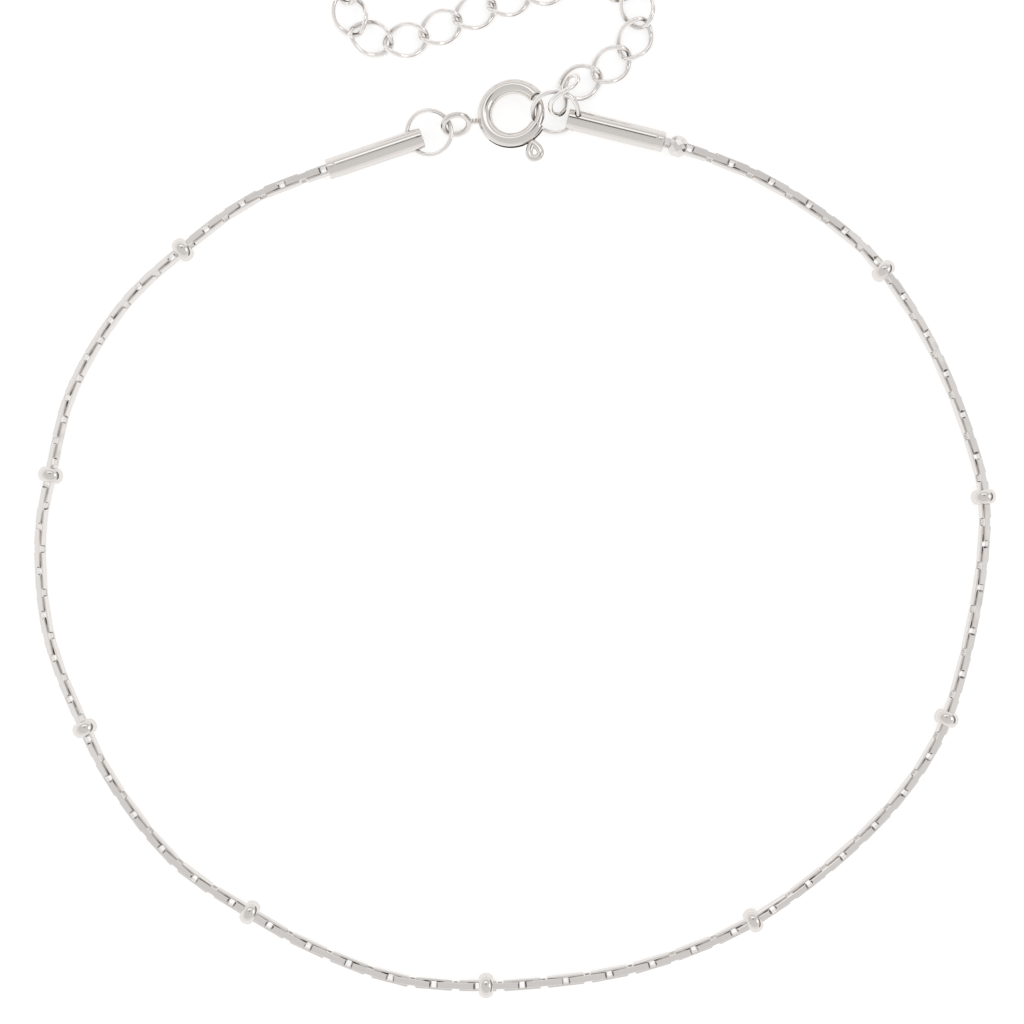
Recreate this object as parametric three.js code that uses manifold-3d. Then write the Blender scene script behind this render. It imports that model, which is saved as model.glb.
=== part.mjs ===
// A fine silver chain bracelet that lies as an open loop, with a spring-ring clasp and an extender.
// Millimetres. +Z is up, +Y runs from the middle of the chain to the clasp and the extender, +X is to
// the right as seen from above. The origin is the centre of the bottom of the bounding box.
// The tables give plan places from the middle of the loop, and one shift at the end sets the origin.
import * as THREE from "three";
import { mergeVertices } from "three/addons/utils/BufferGeometryUtils.js";
import Module from "manifold-3d";

const wasm = await Module();
wasm.setup();

// Box chain: long flat-sided links, each turned a quarter turn from the one before
const LINK_LENGTH = 2.78;
const LINK_HEIGHT = 0.8;
const LINK_WALL = 0.17;
const LINK_WIDTH = 0.4;
const LINK_TIP_WIDTH = 0.34;
const LINK_TIP_HEIGHT = 0.44;
const LINK_TAPER = 0.22;
const LINK_PITCH = 1.54;
const SOLDER_DEPTH = 0.02;

// Beads threaded on the chain: plain round ones, and a smaller one with cut facets by the right cap.
// A round bead's outside is an oval of half axes BULGE, along the chain, and SWELL, out from it. The
// cut bead's is given from its middle to its bore
const BEAD_RADIUS = 0.9;
const BEAD_BULGE = 0.57;
const BEAD_SWELL = 0.52;
const BEAD_STEPS = 6;
const BEAD_SIDES = 12;
const BEAD_BORE = 0.62;
const CUT_BEAD_SIDES = 10;
const CUT_BEAD_PROFILE = [
  { out: 0.78, along: 0 },
  { out: 0.74, along: 0.336 },
  { out: 0.66, along: 0.56 },
  { out: BEAD_BORE, along: 0.48 },
];

// Tubes crimped over the two ends of the chain
const CAP_RADIUS = 0.75;
const CAP_BORE = 0.6;
const CAP_EDGE = 0.05;
const CAP_SIDES = 16;
const CAP_HOLE_CLEARANCE = 0.08;

// Round wire rings
const RING_WIRE = 0.34;
const RING_SIDES = 16;
const WIRE_SIDES = 6;

// Spring-ring clasp: a slotted tube bent to a ring, with a bolt inside that a trigger draws back
const CLASP_OUTER_RADIUS = 2.5;
const CLASP_TUBE_RADIUS = 0.525;
const CLASP_BORE = 0.36;
const CLASP_TUBE_SIDES = 12;
const CLASP_BORE_SIDES = 8;
const CLASP_STEPS = 22;
const CLASP_UPPER_END = 36;
const CLASP_LOWER_END = -26;
const CLASP_MIDDLE_RADIUS = CLASP_OUTER_RADIUS - CLASP_TUBE_RADIUS;
const BOLT_RADIUS = 0.25;
const BOLT_STEPS = 9;
const BOLT_TIP = 38;
const TRIGGER_ANGLE = -56.5;
const BOLT_TAIL = TRIGGER_ANGLE - 20;
const TRIGGER_TRAVEL = 64;
const SLOT_HEIGHT = 0.42;
const SLOT_END = TRIGGER_ANGLE - TRIGGER_TRAVEL - 7;
const STEM_WIDTH = 0.3;
const STEM_THICKNESS = 0.26;
const STEM_END = CLASP_OUTER_RADIUS + 0.2;
const KNOB_START = CLASP_OUTER_RADIUS + 0.08;
const KNOB_LENGTH = 1.42;
const KNOB_RADIUS = 0.62;
const KNOB_SPREAD = 115;
const KNOB_WIRE = 0.5;
const KNOB_THICKNESS = 0.4;
const KNOB_HOLE_POINT = 0.5;
const KNOB_HOLE_SPREAD = 80;
const KNOB_LEAN = -77;
const EYE_OUTER_RADIUS = 1.1;
const EYE_WIRE = 0.42;
const EYE_STEPS = 14;
const EYE_TILT = 48;
const NECK_RADIUS = 0.2;
const NECK_SIDES = 8;
const NECK_SINK = 0.1;

// How far a cutter runs on past the wall that it opens: in degrees round the clasp, and outwards
const CUT_SPARE_ANGLE = 5;
const CUT_SPARE = 0.2;

// Extender: oval wire links, each twisted end to end so that the chain lies flat
const OVAL_LENGTH = 3.4;
const OVAL_WIDTH = 2.6;
const OVAL_WIRE = 0.35;
const OVAL_TWIST = 45;
const OVAL_STEPS = 14;

const rad = THREE.MathUtils.degToRad;
const UP = new THREE.Vector3(0, 0, 1);

// The chain's course: plan place, height of its centre line, and how far the links are rolled about it
const ROUTE = [
  { at: "inside left cap", x: -10.02, y: 24.86, z: 0.75, roll: 20 },
  { at: "left cap mouth", x: -12.86, y: 23.89, z: 0.75, roll: 20 },
  { at: "rest", x: -18.26, y: 21.78, z: 0.53, roll: 25 },
  { at: "bead", x: -22.96, y: 18.29, z: 0.9, roll: 30 },
  { at: "rest", x: -27.2, y: 14.32, z: 0.53, roll: 35 },
  { at: "rest", x: -30.73, y: 8.45, z: 0.53, roll: 38 },
  { at: "bead", x: -32.18, y: 2.58, z: 0.9, roll: 38 },
  { at: "rest", x: -32.92, y: -1.63, z: 0.53, roll: 35 },
  { at: "rest", x: -32.37, y: -8.47, z: 0.53, roll: 32 },
  { at: "bead", x: -29.8, y: -15.08, z: 0.9, roll: 28 },
  { at: "rest", x: -27.6, y: -19.29, z: 0.53, roll: 24 },
  { at: "rest", x: -23.43, y: -24.44, z: 0.53, roll: 18 },
  { at: "bead", x: -18.29, y: -27.92, z: 0.9, roll: 12 },
  { at: "rest", x: -13.81, y: -30.45, z: 0.51, roll: 8 },
  { at: "rest", x: -7.85, y: -32.62, z: 0.49, roll: 4 },
  { at: "bead", x: -1.81, y: -33.02, z: 0.9, roll: 0 },
  { at: "rest", x: 3.09, y: -32.76, z: 0.51, roll: 6 },
  { at: "rest", x: 7.69, y: -32.05, z: 0.53, roll: 12 },
  { at: "rest", x: 12.17, y: -30.69, z: 0.53, roll: 16 },
  { at: "bead", x: 16.82, y: -28.48, z: 0.9, roll: 19 },
  { at: "rest", x: 22.96, y: -24.03, z: 0.53, roll: 22 },
  { at: "rest", x: 27.54, y: -19.25, z: 0.53, roll: 24 },
  { at: "bead", x: 30.29, y: -14.38, z: 0.9, roll: 25 },
  { at: "rest", x: 32.62, y: -5.06, z: 0.53, roll: 27 },
  { at: "bead", x: 32.88, y: 1.05, z: 0.9, roll: 28 },
  { at: "rest", x: 31.93, y: 5.21, z: 0.53, roll: 28 },
  { at: "rest", x: 29.31, y: 11.59, z: 0.53, roll: 27 },
  { at: "bead", x: 25.9, y: 16.82, z: 0.9, roll: 26 },
  { at: "rest", x: 23.04, y: 19.69, z: 0.53, roll: 25 },
  { at: "rest", x: 17.34, y: 23.35, z: 0.53, roll: 23 },
  { at: "cut bead", x: 11.57, y: 25.52, z: 0.78, roll: 20 },
  { at: "right cap mouth", x: 10.62, y: 25.81, z: 0.75, roll: 20 },
  { at: "inside right cap", x: 7.71, y: 26.53, z: 0.75, roll: 20 },
];

// The tubes on the chain's ends: the mouth is where the chain goes in, the tip is where the ring holds
const CAPS = [
  { side: "left", mouth: [-12.86, 23.89], tip: [-6.23, 26.14] },
  { side: "right", mouth: [10.62, 25.81], tip: [3.87, 27.47] },
];

// The rings that join the tubes to the clasp. lift is the slope of a ring's plane, up towards the
// direction upTo, in degrees from +X
const RINGS = [
  { side: "left", x: -5.79, y: 26.48, z: 0.83, radius: 1.555, lift: 2.5, upTo: 10 },
  { side: "right", x: 3.02, y: 27.83, z: 1.4, radius: 1.59, lift: 33, upTo: 88 },
];

const CLASP = { x: 0.04, y: 27.78, z: 1.09, lift: 16, upTo: -50 };
const EYE = { x: -3.9, y: 27.03, z: 0.92, turn: 13 };

// The extender's links from the right-hand ring to the free end. along is the direction of a link's
// long axis, in degrees from +X, and lean turns the link about it
const OVALS = [
  { x: 3.65, y: 29.05, z: 1.56, along: 60, lean: -95 },
  { x: 4.75, y: 30, z: 0.65, along: 20, lean: 5 },
  { x: 6.92, y: 31.2, z: 0.6, along: 40, lean: 0 },
  { x: 8.58, y: 33.02, z: 0.59, along: 62, lean: 0 },
  { x: 8.74, y: 35.31, z: 0.63, along: 106, lean: -1 },
  { x: 7.16, y: 36.89, z: 0.76, along: 161, lean: 0 },
  { x: 4.78, y: 37.05, z: 0.67, along: 186, lean: 0 },
  { x: 2.26, y: 36.57, z: 0.62, along: 193, lean: 0 },
  { x: -0.22, y: 35.8, z: 0.63, along: 201, lean: 0 },
  { x: -2.63, y: 34.89, z: 0.68, along: 203, lean: 0 },
  { x: -5, y: 33.82, z: 0.69, along: 206, lean: 0 },
  { x: -7.41, y: 32.94, z: 0.67, along: 192, lean: 0 },
  { x: -9.85, y: 33.1, z: 0.6, along: 159, lean: 0 },
  { x: -11.33, y: 34.75, z: 0.62, along: 114, lean: 0 },
  { x: -11.4, y: 37.05, z: 0.61, along: 90, lean: 0 },
];

const silver = new THREE.MeshStandardMaterial({ color: 0xc9c5c1, roughness: 0.18, metalness: 1 });
const cutSilver = new THREE.MeshStandardMaterial({ color: 0xd2cfcb, roughness: 0.24, metalness: 1 });

// A geometry with only its places, and one vertex where several meet, as closed solids need
function welded(geometry) {
  const bare = geometry.index ? geometry.toNonIndexed() : geometry.clone();
  bare.deleteAttribute("normal");
  bare.deleteAttribute("uv");
  return mergeVertices(bare, 1e-5);
}

function toSolid(geometry) {
  const shared = welded(geometry);
  return new wasm.Manifold(
    new wasm.Mesh({
      numProp: 3,
      vertProperties: new Float32Array(shared.attributes.position.array),
      triVerts: new Uint32Array(shared.index.array),
    }),
  );
}

function toGeometry(solid) {
  const result = solid.getMesh();
  const geometry = new THREE.BufferGeometry();
  geometry.setAttribute("position", new THREE.BufferAttribute(new Float32Array(result.vertProperties), 3));
  geometry.setIndex(new THREE.BufferAttribute(new Uint32Array(result.triVerts), 1));
  return geometry;
}

function named(name, geometry, material) {
  const mesh = new THREE.Mesh(geometry, material);
  mesh.name = name;
  return mesh;
}

// The turn that raises a flat thing by lift degrees towards the plan direction upTo
function liftTurn(lift, upTo) {
  const level = new THREE.Vector3(Math.sin(rad(upTo)), -Math.cos(rad(upTo)), 0);
  return new THREE.Quaternion().setFromAxisAngle(level, rad(lift));
}

// An arc in the XY plane about the origin, from one angle to another in degrees
class ArcPath extends THREE.Curve {
  constructor(radius, from, to) {
    super();
    this.radius = radius;
    this.from = rad(from);
    this.to = rad(to);
  }
  getPoint(t, target = new THREE.Vector3()) {
    const angle = this.from + (this.to - this.from) * t;
    return target.set(this.radius * Math.cos(angle), this.radius * Math.sin(angle), 0);
  }
}

// A twisted oval about the origin with its long axis on X. The offset from that axis turns as it goes
class OvalPath extends THREE.Curve {
  getPoint(t, target = new THREE.Vector3()) {
    const angle = 2 * Math.PI * t;
    const along = Math.cos(angle);
    const offset = (0.5 * (OVAL_WIDTH - OVAL_WIRE)) * Math.sin(angle);
    const twist = rad(OVAL_TWIST) * along;
    const reach = 0.5 * (OVAL_LENGTH - OVAL_WIRE);
    return target.set(reach * along, offset * Math.cos(twist), offset * Math.sin(twist));
  }
}

function roundSection(radius, sides) {
  const corners = [];
  for (let i = 0; i < sides; i += 1) {
    const angle = (2 * Math.PI * (i + 0.5)) / sides;
    corners.push(new THREE.Vector2(radius * Math.cos(angle), radius * Math.sin(angle)));
  }
  return new THREE.Shape(corners);
}

function bentRod(radius, sides, from, to, steps) {
  return new THREE.ExtrudeGeometry(roundSection(radius, sides), {
    steps,
    extrudePath: new ArcPath(CLASP_MIDDLE_RADIUS, from, to),
  });
}

// One link of the box chain: a long eight-sided loop with a slot through it, thinner at both tips
function chainLink() {
  const half = LINK_LENGTH / 2;
  const high = LINK_HEIGHT / 2;
  const shoulder = half - LINK_TAPER;
  const tip = LINK_TIP_HEIGHT / 2;
  const outline = new THREE.Shape([
    new THREE.Vector2(half, -tip),
    new THREE.Vector2(half, tip),
    new THREE.Vector2(shoulder, high),
    new THREE.Vector2(-shoulder, high),
    new THREE.Vector2(-half, tip),
    new THREE.Vector2(-half, -tip),
    new THREE.Vector2(-shoulder, -high),
    new THREE.Vector2(shoulder, -high),
  ]);
  const slotHalf = (LINK_PITCH - SOLDER_DEPTH) / 2;
  const slotHigh = high - LINK_WALL;
  outline.holes.push(
    new THREE.Path([
      new THREE.Vector2(slotHalf, -slotHigh),
      new THREE.Vector2(-slotHalf, -slotHigh),
      new THREE.Vector2(-slotHalf, slotHigh),
      new THREE.Vector2(slotHalf, slotHigh),
    ]),
  );
  const link = new THREE.ExtrudeGeometry(outline, { depth: 2, bevelEnabled: false });
  link.translate(0, 0, -1);
  const place = link.attributes.position;
  for (let i = 0; i < place.count; i += 1) {
    const isTip = Math.abs(place.getX(i)) > shoulder + 0.5 * LINK_TAPER;
    const halfWidth = (isTip ? LINK_TIP_WIDTH : LINK_WIDTH) / 2;
    place.setZ(i, place.getZ(i) * halfWidth);
  }
  return link;
}

const routePoints = ROUTE.map((row) => new THREE.Vector3(row.x, row.y, row.z));
const route = new THREE.CatmullRomCurve3(routePoints, false, "centripetal");
route.arcLengthDivisions = 4000;

// The axes of a thing on the route: its X runs on along the chain and its Z is up, but for the roll
function routeFrame(point, tangent, roll) {
  const across = new THREE.Vector3().crossVectors(UP, tangent).normalize();
  const upright = new THREE.Vector3().crossVectors(tangent, across);
  const frame = new THREE.Matrix4().makeBasis(tangent, across, upright);
  frame.multiply(new THREE.Matrix4().makeRotationX(rad(roll)));
  return frame.setPosition(point);
}

// The roll at a share of the route's length, eased between its two neighbouring rows
function rollAt(share) {
  const place = route.getUtoTmapping(share) * (ROUTE.length - 1);
  const row = Math.min(Math.floor(place), ROUTE.length - 2);
  return THREE.MathUtils.lerp(ROUTE[row].roll, ROUTE[row + 1].roll, place - row);
}

function chain() {
  const link = toSolid(chainLink());
  const length = route.getLength();
  const gaps = Math.round((length - LINK_LENGTH) / LINK_PITCH);
  const start = 0.5 * (length - gaps * LINK_PITCH);
  const links = [];
  for (let i = 0; i <= gaps; i += 1) {
    const share = (start + i * LINK_PITCH) / length;
    const roll = rollAt(share) + 90 * (i % 2);
    const frame = routeFrame(route.getPointAt(share), route.getTangentAt(share), roll);
    links.push(link.transform(frame.toArray()));
  }
  return named("chain", toGeometry(wasm.Manifold.union(links)), cutSilver);
}

// A round bead's outside, from one mouth of its bore to the other
function roundBeadProfile() {
  const mouth = Math.acos(1 - (BEAD_RADIUS - BEAD_BORE) / BEAD_SWELL);
  const profile = [];
  for (let i = 0; i <= BEAD_STEPS; i += 1) {
    const angle = mouth * ((2 * i) / BEAD_STEPS - 1);
    const out = BEAD_RADIUS - BEAD_SWELL * (1 - Math.cos(angle));
    profile.push(new THREE.Vector2(out, BEAD_BULGE * Math.sin(angle)));
  }
  return profile;
}

// The cut bead's outside, the half in the table and its mirror image
function cutBeadProfile() {
  const after = CUT_BEAD_PROFILE.map((row) => new THREE.Vector2(row.out, row.along));
  const before = CUT_BEAD_PROFILE.slice(1).map((row) => new THREE.Vector2(row.out, -row.along));
  return [...before.reverse(), ...after];
}

// A drilled bead about a point of the route, with its bore along the chain
function bead(name, row) {
  const isCut = row.at === "cut bead";
  const profile = isCut ? cutBeadProfile() : roundBeadProfile();
  profile.push(profile[0].clone());
  const geometry = new THREE.LatheGeometry(profile, isCut ? CUT_BEAD_SIDES : BEAD_SIDES);
  geometry.rotateZ(-Math.PI / 2);
  const tangent = route.getTangent(ROUTE.indexOf(row) / (ROUTE.length - 1));
  geometry.applyMatrix4(routeFrame(new THREE.Vector3(row.x, row.y, row.z), tangent, 0));
  return named(name, welded(geometry), silver);
}

// A ring's round wire bent to its circle, where it lies, with the wire made fatter by a clearance
function ringWire(ring, clearance) {
  const wire = RING_WIRE / 2 + clearance;
  const geometry = new THREE.TorusGeometry(ring.radius, wire, WIRE_SIDES, RING_SIDES);
  geometry.applyQuaternion(liftTurn(ring.lift, ring.upTo));
  return geometry.translate(ring.x, ring.y, ring.z);
}

// A thin tube from its mouth to its tip, with the hole near the tip that its ring goes through
function endCap(cap, ring) {
  const length = Math.hypot(cap.tip[0] - cap.mouth[0], cap.tip[1] - cap.mouth[1]);
  const outer = CAP_RADIUS / Math.cos(Math.PI / CAP_SIDES);
  const profile = [
    [CAP_BORE, 0],
    [outer - CAP_EDGE, 0],
    [outer, CAP_EDGE],
    [outer, length - CAP_EDGE],
    [outer - CAP_EDGE, length],
    [CAP_BORE, length],
    [CAP_BORE, 0],
  ].map(([r, along]) => new THREE.Vector2(r, along));
  const tube = new THREE.LatheGeometry(profile, CAP_SIDES, Math.PI / CAP_SIDES);
  tube.rotateZ(-Math.PI / 2);
  tube.rotateZ(Math.atan2(cap.tip[1] - cap.mouth[1], cap.tip[0] - cap.mouth[0]));
  tube.translate(cap.mouth[0], cap.mouth[1], CAP_RADIUS);
  const drill = toSolid(ringWire(ring, CAP_HOLE_CLEARANCE));
  return named(`end_cap_${cap.side}`, toGeometry(toSolid(tube).subtract(drill)), silver);
}

function jumpRing(ring) {
  return named(`jump_ring_${ring.side}`, welded(ringWire(ring, 0)), silver);
}

function ovalLink(row, index) {
  const geometry = new THREE.TubeGeometry(new OvalPath(), OVAL_STEPS, OVAL_WIRE / 2, WIRE_SIDES, true);
  const mesh = named(`extender_link_${String(index + 1).padStart(2, "0")}`, welded(geometry), silver);
  mesh.position.set(row.x, row.y, row.z);
  mesh.rotation.set(rad(row.lean), 0, rad(row.along), "ZYX");
  return mesh;
}

// The slot in the clasp's outer wall, as the flat sector that is cut away
function slotCutter() {
  const start = rad(SLOT_END);
  const end = rad(CLASP_LOWER_END + CUT_SPARE_ANGLE);
  const sector = new THREE.Shape();
  sector.absarc(0, 0, CLASP_OUTER_RADIUS + CUT_SPARE, start, end, false);
  sector.absarc(0, 0, CLASP_MIDDLE_RADIUS, end, start, true);
  const cutter = new THREE.ExtrudeGeometry(sector, {
    depth: SLOT_HEIGHT,
    bevelEnabled: false,
    curveSegments: 8,
  });
  cutter.translate(0, 0, -SLOT_HEIGHT / 2);
  return cutter;
}

// The clasp's frame in the plan: flat about the origin, then lifted to its slope and its place
function claspMatrix() {
  const place = new THREE.Vector3(CLASP.x, CLASP.y, CLASP.z);
  const turn = liftTurn(CLASP.lift, CLASP.upTo);
  return new THREE.Matrix4().compose(place, turn, new THREE.Vector3(1, 1, 1));
}

function claspBody() {
  const upper = CLASP_UPPER_END;
  const lower = CLASP_LOWER_END + 360;
  const tube = toSolid(bentRod(CLASP_TUBE_RADIUS, CLASP_TUBE_SIDES, upper, lower, CLASP_STEPS));
  const boreRod = bentRod(
    CLASP_BORE,
    CLASP_BORE_SIDES,
    upper - CUT_SPARE_ANGLE,
    lower + CUT_SPARE_ANGLE,
    CLASP_STEPS,
  );
  const ring = tube
    .subtract(toSolid(boreRod))
    .subtract(toSolid(slotCutter()))
    .transform(claspMatrix().toArray());

  const eyeCentre = new THREE.Vector3(EYE.x, EYE.y, EYE.z);
  const eyeMiddle = EYE_OUTER_RADIUS - EYE_WIRE / 2;
  const eye = new THREE.TorusGeometry(eyeMiddle, EYE_WIRE / 2, WIRE_SIDES, EYE_STEPS);
  eye.rotateX(rad(EYE_TILT));
  eye.rotateZ(rad(EYE.turn));
  eye.translate(eyeCentre.x, eyeCentre.y, eyeCentre.z);

  const eyeAngle = Math.atan2(EYE.y - CLASP.y, EYE.x - CLASP.x);
  const wall = new THREE.Vector3(Math.cos(eyeAngle), Math.sin(eyeAngle), 0)
    .multiplyScalar(CLASP_OUTER_RADIUS - NECK_SINK)
    .applyMatrix4(claspMatrix());
  const eyeSide = eyeCentre
    .clone()
    .add(new THREE.Vector3(eyeMiddle * Math.cos(rad(EYE.turn)), eyeMiddle * Math.sin(rad(EYE.turn)), 0));
  const reach = new THREE.Vector3().subVectors(wall, eyeSide);
  const neck = new THREE.CylinderGeometry(NECK_RADIUS, NECK_RADIUS, reach.length(), NECK_SIDES);
  neck.applyQuaternion(
    new THREE.Quaternion().setFromUnitVectors(new THREE.Vector3(0, 1, 0), reach.clone().normalize()),
  );
  const middle = eyeSide.clone().addScaledVector(reach, 0.5);
  neck.translate(middle.x, middle.y, middle.z);
  return named("clasp_body", toGeometry(wasm.Manifold.union([ring, toSolid(eye), toSolid(neck)])), silver);
}

// The knob: a flat drop-shaped loop with its point at the origin and its round end down +X
function knobLoop() {
  const centre = KNOB_LENGTH - KNOB_RADIUS;
  const outline = new THREE.Shape();
  outline.moveTo(0, -KNOB_THICKNESS / 2);
  outline.absarc(centre, 0, KNOB_RADIUS, rad(-KNOB_SPREAD), rad(KNOB_SPREAD), false);
  outline.lineTo(0, KNOB_THICKNESS / 2);
  outline.closePath();
  const hole = new THREE.Path();
  const holeSpread = rad(KNOB_HOLE_SPREAD);
  hole.moveTo(centre - KNOB_HOLE_POINT, 0);
  hole.absarc(centre, 0, KNOB_RADIUS - KNOB_WIRE, holeSpread, -holeSpread, true);
  hole.closePath();
  outline.holes.push(hole);
  const loop = new THREE.ExtrudeGeometry(outline, {
    depth: KNOB_THICKNESS,
    bevelEnabled: false,
    curveSegments: 5,
  });
  loop.translate(0, 0, -KNOB_THICKNESS / 2);
  return loop;
}

function claspTrigger() {
  const bolt = toSolid(bentRod(BOLT_RADIUS, CLASP_BORE_SIDES, BOLT_TAIL, BOLT_TIP, BOLT_STEPS));
  const stemLength = STEM_END - CLASP_MIDDLE_RADIUS;
  const stem = new THREE.BoxGeometry(stemLength, STEM_WIDTH, STEM_THICKNESS);
  stem.translate(CLASP_MIDDLE_RADIUS + stemLength / 2, 0, 0);
  stem.rotateZ(rad(TRIGGER_ANGLE));
  const knob = knobLoop();
  knob.rotateZ(rad(KNOB_LEAN));
  const trigger = rad(TRIGGER_ANGLE);
  knob.translate(KNOB_START * Math.cos(trigger), KNOB_START * Math.sin(trigger), 0);
  const solid = wasm.Manifold.union([bolt, toSolid(stem), toSolid(knob)]);
  return named("clasp_trigger", toGeometry(solid.transform(claspMatrix().toArray())), silver);
}

const bracelet = new THREE.Group();
bracelet.add(chain());
ROUTE.filter((row) => row.at.endsWith("bead")).forEach((row, i) => {
  bracelet.add(bead(`bead_${String(i + 1).padStart(2, "0")}`, row));
});
CAPS.forEach((cap, i) => bracelet.add(endCap(cap, RINGS[i])));
RINGS.forEach((ring) => bracelet.add(jumpRing(ring)));
bracelet.add(claspBody(), claspTrigger());
OVALS.forEach((row, i) => bracelet.add(ovalLink(row, i)));

const box = new THREE.Box3().setFromObject(bracelet, true);
bracelet.position.set(-0.5 * (box.min.x + box.max.x), -0.5 * (box.min.y + box.max.y), -box.min.z);

export default bracelet;
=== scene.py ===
"""A fine silver chain bracelet with beads, a spring ring clasp and an extender, dressed for the camera.

Sizes are in millimetres until a mesh is made. Plan places are measured from the middle of the loop,
+X to the right and +Y up the photograph, and +Z is up from the surface that the bracelet lies on.
"""

from __future__ import annotations

import logging
import math
from dataclasses import dataclass, field
from enum import Enum

import bpy
import numpy as np
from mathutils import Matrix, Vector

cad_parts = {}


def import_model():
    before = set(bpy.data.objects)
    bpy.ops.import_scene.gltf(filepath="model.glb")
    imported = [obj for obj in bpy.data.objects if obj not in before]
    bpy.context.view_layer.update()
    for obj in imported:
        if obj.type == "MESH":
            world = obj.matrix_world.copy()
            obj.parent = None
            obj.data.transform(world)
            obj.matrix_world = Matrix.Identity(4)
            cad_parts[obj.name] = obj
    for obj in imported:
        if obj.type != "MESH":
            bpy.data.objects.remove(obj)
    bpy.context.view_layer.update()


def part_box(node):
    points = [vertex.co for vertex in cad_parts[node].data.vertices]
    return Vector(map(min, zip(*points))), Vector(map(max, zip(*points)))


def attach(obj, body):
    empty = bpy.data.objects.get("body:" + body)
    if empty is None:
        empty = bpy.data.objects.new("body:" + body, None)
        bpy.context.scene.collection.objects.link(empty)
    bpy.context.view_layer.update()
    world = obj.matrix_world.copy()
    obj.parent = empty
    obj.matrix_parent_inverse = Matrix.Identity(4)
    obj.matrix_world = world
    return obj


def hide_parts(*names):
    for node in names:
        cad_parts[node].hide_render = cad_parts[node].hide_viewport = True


LOG = logging.getLogger("bracelet")
MILLIMETRE = 0.001
LENGTHWISE = np.array([1.0, 0.0, 0.0])
UP = np.array([0.0, 0.0, 1.0])
FULL_TURN = 2.0 * math.pi
Array = np.ndarray
Faces = list[Array]


class Body(Enum):
    """The rigid bodies that pieces ride on."""

    BRACELET = "bracelet"
    BOLT = "bolt"


class Slot(Enum):
    """The record's material slots."""

    SILVER = "silver"
    CUT_SILVER = "cut_silver"


class Crisp(Enum):
    """The angle in degrees above which an edge stays crisp, by how the surface was made."""

    CUT = 12.0
    FLAT = 24.0
    TURNED = 40.0
    DRAWN = 50.0


class RouteKind(Enum):
    """What a row of the chain's route stands for: bare chain or a bead."""

    REST = "rest"
    BEAD = "bead"
    CUT_BEAD = "cut bead"


@dataclass(frozen=True)
class Station:
    """One row of the chain's route: its plan place, height, the links' roll in degrees and its kind."""

    x: float
    y: float
    z: float
    roll: float
    kind: RouteKind = RouteKind.REST


BEAD, CUT_BEAD = RouteKind.BEAD, RouteKind.CUT_BEAD
# The first two rows and the last two lie inside a tube and at its mouth
ROUTE = (
    Station(-10.02, 24.86, 0.75, 20),
    Station(-12.86, 23.89, 0.75, 20),
    Station(-18.26, 21.78, 0.53, 25),
    Station(-22.96, 18.29, 0.9, 30, BEAD),
    Station(-27.2, 14.32, 0.53, 35),
    Station(-30.73, 8.45, 0.53, 38),
    Station(-32.18, 2.58, 0.9, 38, BEAD),
    Station(-32.92, -1.63, 0.53, 35),
    Station(-32.37, -8.47, 0.53, 32),
    Station(-29.8, -15.08, 0.9, 28, BEAD),
    Station(-27.6, -19.29, 0.53, 24),
    Station(-23.43, -24.44, 0.53, 18),
    Station(-18.29, -27.92, 0.9, 12, BEAD),
    Station(-13.81, -30.45, 0.51, 8),
    Station(-7.85, -32.62, 0.49, 4),
    Station(-1.81, -33.02, 0.9, 0, BEAD),
    Station(3.09, -32.76, 0.51, 6),
    Station(7.69, -32.05, 0.53, 12),
    Station(12.17, -30.69, 0.53, 16),
    Station(16.82, -28.48, 0.9, 19, BEAD),
    Station(22.96, -24.03, 0.53, 22),
    Station(27.54, -19.25, 0.53, 24),
    Station(30.29, -14.38, 0.9, 25, BEAD),
    Station(32.62, -5.06, 0.53, 27),
    Station(32.88, 1.05, 0.9, 28, BEAD),
    Station(31.93, 5.21, 0.53, 28),
    Station(29.31, 11.59, 0.53, 27),
    Station(25.9, 16.82, 0.9, 26, BEAD),
    Station(23.04, 19.69, 0.53, 25),
    Station(17.34, 23.35, 0.53, 23),
    Station(11.57, 25.52, 0.78, 20, CUT_BEAD),
    Station(10.62, 25.81, 0.75, 20),
    Station(7.71, 26.53, 0.75, 20),
)
BEAD_ROWS = [row for row, station in enumerate(ROUTE) if station.kind in (BEAD, CUT_BEAD)]
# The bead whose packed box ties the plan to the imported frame, the one at the photograph's bottom
ANCHOR_BEAD = 5


def linear(code: str) -> tuple[float, float, float, float]:
    """Turns six sRGB hex digits, such as c8c4c0, to linear light with an alpha of one."""
    channels = [int(code[i : i + 2], 16) / 255.0 for i in (0, 2, 4)]
    light = [c / 12.92 if c <= 0.04045 else ((c + 0.055) / 1.055) ** 2.4 for c in channels]
    return light[0], light[1], light[2], 1.0


def turn(axis: Array, degrees: float) -> Array:
    """Gives the 3 by 3 matrix that turns about an axis by the right-hand rule.

    Args:
        axis: Unit vector.
        degrees: Angle of the turn.

    Returns:
        The rotation matrix, by Rodrigues' formula.
    """
    x, y, z = axis
    skew = np.array([[0.0, -z, y], [z, 0.0, -x], [-y, x, 0.0]])
    angle = math.radians(degrees)
    return np.eye(3) + math.sin(angle) * skew + (1.0 - math.cos(angle)) * skew @ skew


def lift_turn(lift: float, up_to: float) -> Array:
    """Gives the turn that raises a flat thing by lift degrees towards the plan direction up_to."""
    angle = math.radians(up_to)
    return turn(np.array([math.sin(angle), -math.cos(angle), 0.0]), lift)


def unit(vectors: Array) -> Array:
    """Scales vectors, on their last axis, to a length of one."""
    return vectors / np.linalg.norm(vectors, axis=-1, keepdims=True)


def steps_round(count: int) -> Array:
    """Returns equal steps of angle once round, in radians."""
    return np.arange(count) * FULL_TURN / count


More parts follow.
